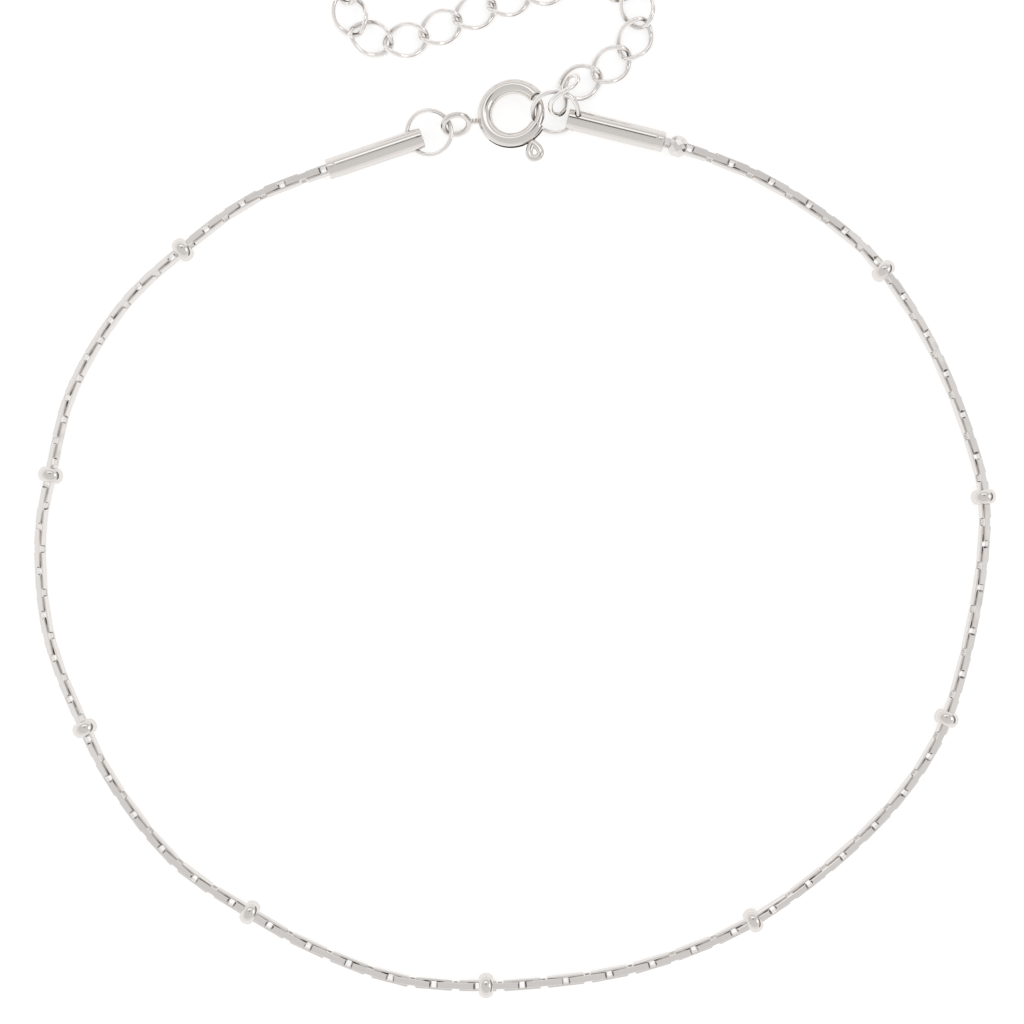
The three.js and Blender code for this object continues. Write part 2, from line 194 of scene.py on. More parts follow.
def level_way(angle: Array | float) -> Array:
    """Returns the level unit directions at angles in radians: cosine, sine and nought."""
    return np.stack([np.cos(angle), np.sin(angle), 0.0 * angle], axis=-1)


@dataclass
class Skin:
    """A closed surface in plan millimetres: its vertices and its faces, in arrays by face size."""

    vertices: Array
    faces: Faces

    def placed(self, matrix: Array, offset: Array) -> Skin:
        """Returns this surface turned by a matrix and then moved by an offset."""
        return Skin(self.vertices @ matrix.T + offset, self.faces)

    def volume(self) -> float:
        """Adds up the tetrahedra from the origin to each face's fan of triangles.

        Returns:
            The volume, below nought where the faces point in.
        """
        total = 0.0
        for group in self.faces:
            corners = self.vertices[group]
            for k in range(1, group.shape[1] - 1):
                total += np.sum(corners[:, 0] * np.cross(corners[:, k], corners[:, k + 1]))
        return total / 6.0

    def outward(self) -> Skin:
        """Returns this surface with its faces turned to point out, where they don't."""
        if self.volume() < 0.0:
            return Skin(self.vertices, [group[:, ::-1] for group in self.faces])
        return self


def joined(skins: list[Skin]) -> Skin:
    """Puts several closed surfaces into one, each with its faces pointing out.

    Args:
        skins: The surfaces.

    Returns:
        One surface with all their vertices and faces.
    """
    vertices: list[Array] = []
    faces: Faces = []
    count = 0
    for skin in (s.outward() for s in skins):
        vertices.append(skin.vertices)
        faces.extend(group + count for group in skin.faces)
        count += len(skin.vertices)
    return Skin(np.concatenate(vertices), faces)


def grid_skin(points: Array, is_ring: bool = True) -> Skin:
    """Makes a surface of quads over a grid whose columns close on themselves.

    Each row of the grid is a closed section. The rows close too, or each end row gets one flat face.

    Args:
        points: Array of rows, columns and three coordinates.
        is_ring: Whether the last row joins the first.

    Returns:
        The surface.
    """
    rows, cols = points.shape[:2]
    index = np.arange(rows * cols).reshape(rows, cols)
    here = index if is_ring else index[:-1]
    after = np.roll(index, -1, axis=0) if is_ring else index[1:]
    quads = np.stack([here, after, np.roll(after, -1, axis=1), np.roll(here, -1, axis=1)], axis=-1)
    faces: Faces = [quads.reshape(-1, 4)]
    if not is_ring:
        faces += [index[:1], index[-1:, ::-1]]
    return Skin(points.reshape(-1, 3), faces)


def swept(path: Array, normal: Array, section: Array, is_ring: bool = True) -> Skin:
    """Carries a section along a path: point = path + section x times normal + section y times side.

    The side is the tangent crossed with the normal, and the normal is first squared to the tangent.

    Args:
        path: Array of points, n by 3.
        normal: Direction of the section's first axis, n by 3 or one for all.
        section: Array of the section's points, m by 2, or n by m by 2 where it changes on its way.
        is_ring: Whether the path closes on itself.

    Returns:
        The surface.
    """
    if is_ring:
        tangent = unit(np.roll(path, -1, axis=0) - np.roll(path, 1, axis=0))
    else:
        tangent = unit(np.gradient(path, axis=0))
    first = unit(normal - np.sum(normal * tangent, axis=1, keepdims=True) * tangent)
    side = np.cross(tangent, first)
    flat = np.broadcast_to(section, (len(path),) + section.shape[-2:])
    points = path[:, None] + flat[..., :1] * first[:, None] + flat[..., 1:] * side[:, None]
    return grid_skin(points, is_ring)


def turned(profile: Array, sides: int) -> Skin:
    """Turns a closed profile about X.

    Args:
        profile: Its places along X and its radii.
        sides: Number of steps once round.

    Returns:
        The surface.
    """
    angle = steps_round(sides)[:, None]
    along, radius = profile[:, 0] + 0.0 * angle, profile[:, 1]
    return grid_skin(np.stack([along, radius * np.cos(angle), radius * np.sin(angle)], axis=-1))


def circle(radius: float, sides: int) -> Array:
    """Returns a round section: radius times cosine and sine of equal steps."""
    return radius * level_way(steps_round(sides))[:, :2]


def quarter_round(share: Array) -> Array:
    """Returns the height of a quarter circle, from nought at a share of 0 to one at 1 and above."""
    return np.sqrt(1.0 - (1.0 - np.clip(share, 0.0, 1.0)) ** 2)


def add_node(
    tree: bpy.types.NodeTree,
    kind: str,
    settings: dict[str, object] | None = None,
    values: dict[str | int, object] | None = None,
    links: dict[str | int, bpy.types.NodeSocket] | None = None,
) -> bpy.types.Node:
    """Adds a node with its settings, its sockets' values and its incoming links.

    Args:
        tree: Node tree to add to.
        kind: The node's type name.
        settings: Attributes to set on the node.
        values: Default values by input name or number.
        links: Sockets to join to inputs by name or number.

    Returns:
        The new node.
    """
    node = tree.nodes.new(kind)
    for name, value in (settings or {}).items():
        setattr(node, name, value)
    for name, value in (values or {}).items():
        node.inputs[name].default_value = value
    for name, socket in (links or {}).items():
        tree.links.new(socket, node.inputs[name])
    return node


@dataclass(frozen=True)
class SilverFinish:
    """Sterling silver under a thin bright plating. The plating makes it pale and slightly warm.

    Attributes:
        title: The material's name.
        bright, deep: Colours of the open, polished places and of the gaps and sheltered places. The deep
            colour is painted shade, mixed in where ambient occlusion finds the place hidden.
        roughness, spread: The roughness, and how much it wanders over the piece.
        grain_mm, grain_depth: Size and strength of the polishing marks, drawn coarse enough to show.
        gap_mm: How wide a gap still counts as a gap for the deep colour's painted shade.
        open_share: The unhidden share of the surroundings from which a place counts as open.
        patch, mark_mm: Width of a patch of other roughness, in marks, and the marks' height.
    """

    title: str
    bright: str
    deep: str
    roughness: float
    spread: float
    grain_mm: float
    grain_depth: float
    gap_mm: float
    open_share: float = 0.7
    patch: float = 9.0
    mark_mm: float = 0.004

    def material(self) -> bpy.types.Material:
        """Builds the node material.

        Returns:
            The finished material.
        """
        material = bpy.data.materials.new(self.title)
        material.use_nodes = True
        tree = material.node_tree
        shader = tree.nodes["Principled BSDF"]
        shader.inputs["Metallic"].default_value = 1.0
        place = add_node(tree, "ShaderNodeTexCoord").outputs["Object"]
        grains = 1.0 / (self.grain_mm * MILLIMETRE)
        fine = {"Scale": grains, "Detail": 3.0}
        grain = add_node(tree, "ShaderNodeTexNoise", {}, fine, {"Vector": place})
        broad = {"Scale": grains / self.patch, "Detail": 2.0, "Roughness": 0.6}
        cloud = add_node(tree, "ShaderNodeTexNoise", {}, broad, {"Vector": place})
        least, most = self.roughness - self.spread, self.roughness + self.spread
        wander = {"From Min": 0.3, "From Max": 0.7, "To Min": least, "To Max": most}
        rough = add_node(tree, "ShaderNodeMapRange", {}, wander, {"Value": cloud.outputs["Fac"]})
        # Painted shade: the colour goes towards the deep colour where ambient occlusion finds the place
        # hidden
        gap = {"Distance": self.gap_mm * MILLIMETRE}
        hollow = add_node(tree, "ShaderNodeAmbientOcclusion", {"samples": 8}, gap)
        shares = {"From Min": 0.0, "From Max": self.open_share}
        openness = add_node(tree, "ShaderNodeMapRange", {}, shares, {"Value": hollow.outputs["AO"]})
        shades = {6: linear(self.deep), 7: linear(self.bright)}
        colour = add_node(tree, "ShaderNodeMix", {"data_type": "RGBA"}, shades, {0: openness.outputs[0]})
        marks = {"Strength": self.grain_depth, "Distance": self.mark_mm * MILLIMETRE}
        bump = add_node(tree, "ShaderNodeBump", {}, marks, {"Height": grain.outputs["Fac"]})
        tree.links.new(colour.outputs[2], shader.inputs["Base Color"])
        tree.links.new(rough.outputs["Result"], shader.inputs["Roughness"])
        tree.links.new(bump.outputs["Normal"], shader.inputs["Normal"])
        return material


# Barrel-polished silver: broad reflections, softened by a trace of swirl, with a light painted shade in its
# gaps
TUMBLED = SilverFinish("tumbled plated silver", "e0dbd7", "bdb7b3", 0.09, 0.02, 0.16, 0.18, 0.3)
# Drawn and polished wire: bright along its back, with a strong painted shade that darkens its flanks towards
# the table and its gaps
DRAWN_WIRE = SilverFinish("drawn silver wire", "f3efec", "88827e", 0.09, 0.03, 0.12, 0.22, 1.1, 0.95)
# Flats cut by a diamond tool: bright flat faces with a faint cutting mark and a faint painted shade in their
# gaps
DIAMOND_CUT = SilverFinish("diamond cut silver", "e2dedb", "dad6d2", 0.11, 0.04, 0.1, 0.22, 0.18)


def shade(mesh: bpy.types.Mesh, crisp: Crisp) -> None:
    """Shades a mesh smooth but for its crisp edges."""
    mesh.shade_smooth()
    mesh.set_sharp_from_angle(angle=math.radians(crisp.value))


@dataclass
class Workshop:
    """Turns surfaces into dressed Blender pieces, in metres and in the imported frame.

    Attributes:
        shift: Where the plan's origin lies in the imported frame, in millimetres.
        finishes: The materials made so far.
    """

    shift: Array
    finishes: dict[str, bpy.types.Material] = field(default_factory=dict)

    def finish(self, choice: SilverFinish) -> bpy.types.Material:
        """Returns the material of a finish, made once."""
        if choice.title not in self.finishes:
            self.finishes[choice.title] = choice.material()
        return self.finishes[choice.title]

    def mesh(self, name: str, skin: Skin, crisp: Crisp) -> bpy.types.Object:
        """Makes a mesh object of a surface, smooth but for its crisp edges.

        Args:
            name: The object's name.
            skin: The surface, in plan millimetres.
            crisp: Which edges stay crisp.

        Returns:
            The object, at the origin.
        """
        whole = skin.outward()
        mesh = bpy.data.meshes.new(name)
        corners = [face for group in whole.faces for face in group.tolist()]
        mesh.from_pydata((whole.vertices + self.shift) * MILLIMETRE, [], corners)
        shade(mesh, crisp)
        mesh.update()
        piece = bpy.data.objects.new(name, mesh)
        bpy.context.scene.collection.objects.link(piece)
        return piece

    def dress(
        self,
        piece: bpy.types.Object,
        node: str,
        choice: SilverFinish,
        slot: Slot = Slot.SILVER,
        body: Body = Body.BRACELET,
    ) -> None:
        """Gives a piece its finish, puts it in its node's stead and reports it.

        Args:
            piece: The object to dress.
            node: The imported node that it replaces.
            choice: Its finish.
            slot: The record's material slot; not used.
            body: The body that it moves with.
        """
        piece.data.materials.append(self.finish(choice))
        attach(piece, body.value)
        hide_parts(node)
        LOG.info("%s stands for %s, %d faces", piece.name, node, len(piece.data.polygons))


@dataclass
class Route:
    """The chain's centre line: a centripetal Catmull-Rom curve through the stations.

    Attributes:
        steps: Samples between two stations.
        points, length, row: The samples, their way from the start, and their place in the table.
    """

    steps: int = 160
    points: Array = field(init=False)
    length: Array = field(init=False)
    row: Array = field(init=False)

    def __post_init__(self) -> None:
        """Samples the curve and adds up its length.

        Between two stations each coordinate is a cubic of the share of the way. Its end slopes are the
        non-uniform Catmull-Rom ones, with knots spaced by the square root of the chord.
        """
        knots = np.array([[s.x, s.y, s.z] for s in ROUTE])
        before, after = 2 * knots[0] - knots[1], 2 * knots[-1] - knots[-2]
        knots = np.vstack([before, knots, after])[:, None]
        p0, p1, p2, p3 = knots[:-3], knots[1:-2], knots[2:-1], knots[3:]
        pairs = ((p0, p1), (p1, p2), (p2, p3))
        d0, d1, d2 = (np.sqrt(np.linalg.norm(b - a, axis=-1, keepdims=True)) for a, b in pairs)
        start = d1 * ((p1 - p0) / d0 - (p2 - p0) / (d0 + d1) + (p2 - p1) / d1)
        end = d1 * ((p2 - p1) / d1 - (p3 - p1) / (d1 + d2) + (p3 - p2) / d2)
        share = (np.arange(self.steps) / self.steps)[:, None]
        square, cube = -3 * p1 + 3 * p2 - 2 * start - end, 2 * p1 - 2 * p2 + start + end
        curve = p1 + start * share + square * share**2 + cube * share**3
        self.points = np.vstack([curve.reshape(-1, 3), p2[-1]])
        self.row = np.arange(len(self.points)) / self.steps
        chords = np.linalg.norm(np.diff(self.points, axis=0), axis=1)
        self.length = np.concatenate([[0.0], np.cumsum(chords)])

    def at(self, distance: Array) -> tuple[Array, Array, Array]:
        """Gives places along the curve.

        Args:
            distance: Lengths from the start, in millimetres.

        Returns:
            The points, the unit tangents, and the links' rolls in degrees between their stations.
        """
        slope = np.gradient(self.points, self.length, axis=0)
        point, way = (
            np.stack([np.interp(distance, self.length, column) for column in table.T], axis=1)
            for table in (self.points, slope)
        )
        row = np.interp(distance, self.length, self.row)
        roll = np.interp(row, np.arange(len(ROUTE)), [s.roll for s in ROUTE])
        return point, unit(way), roll

    def frames(self, tangent: Array, roll: Array) -> Array:
        """Gives the axes of things on the curve: X along it, Z up but for the roll about X.

        Args:
            tangent: Unit tangents, n by 3.
            roll: Rolls in degrees, n.

        Returns:
            Matrices, n by 3 by 3, whose columns are the axes.
        """
        across = unit(np.cross(UP, tangent))
        upright = np.cross(tangent, across)
        cos, sin = np.cos(np.radians(roll))[:, None], np.sin(np.radians(roll))[:, None]
        return np.stack([tangent, cos * across + sin * upright, cos * upright - sin * across], axis=2)


@dataclass
class BoxChain:
    """The fine chain: long flat-sided links, each a quarter turn from the one before.

    Attributes:
        length, height, width, wall: A link's outer sizes and the thickness of its rails.
        tip_height, taper: Height of its two tips, and how far from them it is at its full height.
        nose: The facet on a tip's corner, along and up.
        pitch, solder: Distance between neighbouring links, and how deep they sink into each other.
        fillet, fillet_from: The slot's rounded corners, along and in, and the share where they start.
        edge: Width of the small chamfer on every edge.
        sway, waves: How far a link's roll strays, in degrees, and how far its two waves go on from
            link to link, in radians.
    """

    route: Route
    length: float = 2.78
    height: float = 0.76
    width: float = 0.45
    wall: float = 0.156
    tip_height: float = 0.44
    taper: float = 0.145
    nose: tuple[float, float] = (0.06, 0.03)
    pitch: float = 1.54
    solder: float = 0.02
    fillet: tuple[float, float] = (0.09, 0.02)
    fillet_from: float = 0.7
    edge: float = 0.028
    sway: float = 4.0
    waves: tuple[float, float] = (2.1, 0.7)

    @staticmethod
    def drawn_in(loop: Array, inset: float) -> Array:
        """Returns a loop whose farthest corners are drawn in towards its middle by an inset."""
        return loop * (1.0 - inset / np.abs(loop).max(axis=0))

    def link(self) -> Skin:
        """Builds one link about the origin with its long axis on X.

        Two loops of matching points run round the link, one outside it and one in its slot. Each is
        placed at the two side faces, drawn back by the chamfer, and once more a chamfer inside them.
        These eight loops are the columns of a grid that closes on itself.

        Returns:
            Its surface.
        """
        half, high, tip = self.length / 2, self.height / 2, self.tip_height / 2
        shoulder = half - self.taper
        slot_x, slot_z = (self.pitch - self.solder) / 2, high - self.wall
        nose_along, nose_up = self.nose
        fillet_along, fillet_in = self.fillet
        outer = [(half, 0.0), (half, tip), (half - nose_along, tip + nose_up)]
        outer = self.all_round(outer + [(shoulder, high), (shoulder / 2, high), (0.0, high)])
        inner = [(slot_x, 0.0), (slot_x, self.fillet_from * slot_z), (slot_x - fillet_in, slot_z - fillet_in)]
        inner = self.all_round(inner + [(slot_x - fillet_along, slot_z), (slot_x / 2, slot_z), (0.0, slot_z)])
        side, inset = self.width / 2, self.width / 2 - self.edge
        outer_face, inner_face = self.drawn_in(outer, self.edge), self.drawn_in(inner, -self.edge)
        columns = [(outer_face, side), (outer, inset), (outer, -inset), (outer_face, -side)]
        columns += [(inner_face, -side), (inner, -inset), (inner, inset), (inner_face, side)]
        points = [np.insert(loop, 1, across, axis=1) for loop, across in columns]
        return grid_skin(np.stack(points, axis=1))

    @staticmethod
    def all_round(corners: list[tuple[float, float]]) -> Array:
        """Mirrors a quarter loop into a whole one.

        Args:
            corners: Places along X and Z, from the X axis to the Z axis.

        Returns:
            The whole loop's places.
        """
        quarter = np.array(corners)
        half = np.vstack([quarter, quarter[-2::-1] * (-1.0, 1.0)])
        return np.vstack([half, half[-2:0:-1] * (1.0, -1.0)])

    def build(self, shop: Workshop) -> None:
        """Lays the links along the route and dresses the chain.

        Link n's roll strays by the sway times the sine of one wave and the cosine of the other.
        """
        total = self.route.length[-1]
        gaps = round((total - self.length) / self.pitch)
        number = np.arange(gaps + 1)
        distance = 0.5 * (total - gaps * self.pitch) + number * self.pitch
        point, tangent, roll = self.route.at(distance)
        strays = np.sin(self.waves[0] * number) * np.cos(self.waves[1] * number)
        roll = roll + 90.0 * (number % 2) + self.sway * strays
        frames = self.route.frames(tangent, roll)
        link = self.link().outward()
        placed = np.einsum("nij,kj->nki", frames, link.vertices) + point[:, None]
        offsets = (number * len(link.vertices))[:, None, None]
        faces = [(group[None] + offsets).reshape(-1, group.shape[1]) for group in link.faces]
        piece = shop.mesh("box_chain", Skin(placed.reshape(-1, 3), faces), Crisp.FLAT)
        shop.dress(piece, "chain", DIAMOND_CUT, Slot.CUT_SILVER)


@dataclass
class Beads:
    """The beads on the chain: plain round ones, and a smaller one with cut facets.

    Attributes:
        radius, bore: A round bead's outer radius, and its hole's.
        bulge, swell: Half axes, along and out, of the oval that its outside follows.
        rim, throat: How far out from the bore that oval ends, and the curve from there into the bore,
            as shares of the half length and heights over the bore.
        cut_radius, cut_length, cut_sides, cut_bore: The cut bead's, with its corners once round.
    """

    route: Route
    radius: float = 0.9
    bore: float = 0.58
    bulge: float = 0.57
    swell: float = 0.52
    rim: float = 0.05
    throat: tuple[tuple[float, float], ...] = ((1.0, 0.02), (0.965, 0.003), (0.92, 0.0))
    cut_radius: float = 0.78
    cut_length: float = 1.12
    cut_sides: int = 10
    cut_bore: float = 0.48

    def round_bead(self) -> Skin:
        """Builds a plain bead about X.

        Its outside follows an oval, along = bulge sin t and radius = full - swell (1 - cos t), from one
        mouth of the bore to the other. A short curve turns it into the straight bore.

        Returns:
            Its surface.
        """
        mouth = math.acos(1.0 - (self.radius - self.bore - self.rim) / self.swell)
        t = np.linspace(-mouth, mouth, 29)
        along, radius = self.bulge * np.sin(t), self.radius - self.swell * (1.0 - np.cos(t))
        inside = np.array(self.throat) * (along[-1], 1.0) + (0.0, self.bore)
        outside = np.stack([along, radius], axis=1)
        profile = np.vstack([outside, inside, inside[::-1] * (-1.0, 1.0)])
        return turned(profile, sides=72)

    def cut_bead(self) -> Skin:
        """Builds the faceted bead about X.

        Seven rings of ten corners, every second one turned by half a step, are joined by triangles, so
        the outside is all lozenges. The bore closes the two ends.

        Returns:
            Its surface.
        """
        half, full, sides = self.cut_length / 2, self.cut_radius, self.cut_sides
        # Columns: place along X, radius, and turn as a share of the step between two corners
        to_end = [(0.0, full, 0.5), (0.52 * half, 0.94 * full, 0.0), (half, self.cut_bore + 0.06, 0.5)]
        to_end = np.array([*to_end, (0.86 * half, self.cut_bore, 0.0)])
        rings = np.vstack([to_end[:0:-1] * (-1.0, 1.0, 1.0), to_end])
        angle = (np.arange(sides)[None] + rings[:, 2:]) * FULL_TURN / sides
        along, radius = rings[:, :1] + 0.0 * angle, rings[:, 1:2]
        points = np.stack([along, radius * np.cos(angle), radius * np.sin(angle)], axis=-1)
        index = np.arange(len(rings) * sides).reshape(len(rings), sides)
        faces: Faces = []
        for lower, upper, is_turned in zip(index[:-1], index[1:], rings[:-1, 2] > 0.0):
            ahead, above = np.roll(lower, -1), np.roll(upper, -1)
            first = (lower, ahead, above) if is_turned else (lower, ahead, upper)
            second = (lower, above, upper) if is_turned else (ahead, above, upper)
            faces += [np.stack(first, axis=1), np.stack(second, axis=1)]
        last, start = index[-1], index[0]
        faces.append(np.stack([last, np.roll(last, -1), np.roll(start, -1), start], axis=1))
        return Skin(points.reshape(-1, 3), faces)

    def build(self, shop: Workshop) -> None:
        """Threads every bead on its station and dresses it."""
        for number, row in enumerate(BEAD_ROWS, start=1):
            name, skin, crisp, finish = f"round_bead_{number:02d}", self.round_bead(), Crisp.TURNED, TUMBLED
            if ROUTE[row].kind is CUT_BEAD:
                name, skin, crisp, finish = "cut_bead", self.cut_bead(), Crisp.CUT, DIAMOND_CUT
            point, tangent, _ = self.route.at(self.route.length[[row * self.route.steps]])
            frame = self.route.frames(tangent, np.zeros(1))[0]
            piece = shop.mesh(name, skin.placed(frame, point[0]), crisp)
            shop.dress(piece, f"bead_{number:02d}", finish)


@dataclass(frozen=True)
class JumpRing:
    """A round wire ring, open by a hair where its ends meet.

    Attributes:
        side: Which end of the bracelet it is on.
        centre: Its middle.
        radius: Radius to the middle of the wire.
        lift, up_to: The slope of its plane and the plan direction that it rises to, in degrees.
        seam: Where its ends meet, in degrees round the ring.
        wire: The wire's diameter.
        burr: How much of its width the wire keeps at its two ends.
    """

    side: str
    centre: tuple[float, float, float]
    radius: float
    lift: float
    up_to: float
    seam: float
    wire: float = 0.34
    burr: float = 0.86

    def skin(self, clearance: float = 0.0, gap: float = 0.012) -> Skin:
        """Builds the ring: a circle of wire whose ends stop short of each other.

        Args:
            clearance: Extra wire radius, to cut the hole that it goes through.
            gap: Width left between the ends, or none for a whole ring.

        Returns:
            Its surface.
        """
        count = 112
        scale = np.ones((count, 1, 1))
        angle = steps_round(count)
        if gap > 0.0:
            half = 0.5 * gap / self.radius
            angle = math.radians(self.seam) + np.linspace(half, FULL_TURN - half, count)
            scale[[0, -1]] = self.burr
        way = level_way(angle)
        section = scale * circle(self.wire / 2 + clearance, sides=20)
        ring = swept(self.radius * way, way, section, is_ring=gap <= 0.0)
        return ring.placed(lift_turn(self.lift, self.up_to), np.array(self.centre))

    def build(self, shop: Workshop) -> None:
        """Dresses the ring."""
        piece = shop.mesh(f"ring_{self.side}", self.skin(), Crisp.DRAWN)
        shop.dress(piece, f"jump_ring_{self.side}", DRAWN_WIRE)


RINGS = (
    JumpRing("left", (-5.79, 26.48, 0.83), 1.555, 2.5, 10, 250),
    JumpRing("right", (3.02, 27.83, 1.4), 1.59, 33, 88, 215),
)


@dataclass(frozen=True)
class EndTube:
    """A tube crimped on the end of the chain, with a hole across its tip for the ring.

    Attributes:
        side: Which end of the bracelet it is on.
        mouth, tip: Plan places of its two ends.
        ring, clearance: The ring that goes through it, and the room round its wire.
        radius, bore: Outer and inner radii.
        lip: Size of the rounding at the two rims.
        draw, draw_length: How much thinner the two ends are drawn, and over what length.
        crimp, groove, groove_width: The crimp's groove: place from the mouth, depth and width.
    """

    side: str
    mouth: tuple[float, float]
    tip: tuple[float, float]
    ring: JumpRing
    radius: float = 0.75
    bore: float = 0.6
    lip: float = 0.09
    draw: float = 0.018
    draw_length: float = 0.5
    crimp: float = 0.45
    groove: float = 0.03
    groove_width: float = 0.08
    clearance: float = 0.08

    def tube(self) -> Skin:
        """Builds the tube about X from its mouth, as a turned wall with rounded rims.

        The outer radius is drawn in at the two ends by a raised cosine of the way, and in the crimp's
        groove by a bell curve, the exponential of minus the squared distance in groove widths.

        Returns:
            Its surface, in its place.
        """
        mouth, tip = np.array(self.mouth), np.array(self.tip)
        length = float(np.linalg.norm(tip - mouth))
        inside = np.linspace(self.lip, length - self.lip, 180)
        near = np.minimum(inside, length - inside)
        thinner = self.draw * 0.5 * (1.0 + np.cos(math.pi * np.clip(near / self.draw_length, 0.0, 1.0)))
        thinner = thinner + self.groove * np.exp(-(((inside - self.crimp) / self.groove_width) ** 2))
        outer = np.stack([inside, self.radius - thinner], axis=1)
        quarter = np.linspace(0.0, math.pi / 2, 7)[1:]
        top = self.radius - thinner[0]
        round_off = self.lip * np.stack([np.sin(quarter), np.cos(quarter) - 1.0], axis=1)
        far_rim = round_off + (length - self.lip, top)
        near_rim = (round_off * (-1.0, 1.0) + (self.lip, top))[::-1]
        flat = np.array([(length, self.bore), (0.0, self.bore)])
        profile = np.vstack([outer, far_rim, flat, near_rim])
        along = np.array([*(tip - mouth) / length, 0.0])
        frame = np.stack([along, np.cross(UP, along), UP], axis=1)
        return turned(profile, sides=96).placed(frame, np.array([*mouth, self.radius]))

    def build(self, shop: Workshop) -> None:
        """Drills the tube where its ring goes and dresses it."""
        piece = shop.mesh(f"tube_{self.side}", self.tube(), Crisp.TURNED)
        hole = self.ring.skin(clearance=self.clearance, gap=0.0)
        drill = shop.mesh(f"drill_{self.side}", hole, Crisp.TURNED)
        cut = piece.modifiers.new("hole", "BOOLEAN")
        cut.operation = "DIFFERENCE"
        cut.solver = "EXACT"
        cut.object = drill
        graph = bpy.context.evaluated_depsgraph_get()
        mesh = bpy.data.meshes.new_from_object(piece.evaluated_get(graph))
        piece.modifiers.clear()
        piece.data = mesh
        shade(mesh, Crisp.TURNED)
        bpy.data.objects.remove(drill)
        shop.dress(piece, f"end_cap_{self.side}", TUMBLED)


TUBES = (
    EndTube("left", (-12.86, 23.89), (-6.23, 26.14), RINGS[0]),
    EndTube("right", (10.62, 25.81), (3.87, 27.47), RINGS[1]),
)


@dataclass(frozen=True)
class Eye:
    """The clasp's eye: a ring of wire on a short neck of two twisted strands.

    Attributes:
        centre: The ring's middle.
        neck_way: Plan direction from there to the neck, in degrees.
        tilt: How far the ring is turned about that direction.
        radius, wire: Radius to the middle of the ring's wire, and of the wire.
        strand, apart: Radius of a strand, and how far it keeps from the neck's axis.
        turns: How often the strands turn round each other on their way.
    """

    centre: tuple[float, float, float] = (-3.9, 27.03, 0.92)
    neck_way: float = 13.0
    tilt: float = 48.0
    radius: float = 0.89
    wire: float = 0.21
    strand: float = 0.115
    apart: float = 0.1
    turns: float = 1.5

    def ring(self) -> Skin:
        """Returns the ring of wire, in its place."""
        way = level_way(steps_round(96))
        ring = swept(self.radius * way, way, circle(self.wire, sides=20))
        return ring.placed(turn(UP, self.neck_way) @ turn(LENGTHWISE, self.tilt), np.array(self.centre))

    def neck(self, foot: Array) -> list[Skin]:
        """Builds the strands of the neck, from inside the ring's wire to the clasp's tube.

        Args:
            foot: Where the neck ends.

        Returns:
            The two strands.
        """
        side = np.array(self.centre) + self.radius * level_way(math.radians(self.neck_way))
        share = np.linspace(-0.12, 1.0, 40)[:, None]
        axis = unit(foot - side)
        across = unit(np.cross(axis, UP))
        above = np.cross(across, axis)
        strands = []
        for start in (0.0, math.pi):
            spin = start + self.turns * FULL_TURN * share
            path = side + share * (foot - side) + self.apart * (np.cos(spin) * across + np.sin(spin) * above)
            strands.append(swept(path, UP, circle(self.strand, sides=12), is_ring=False))
        return strands


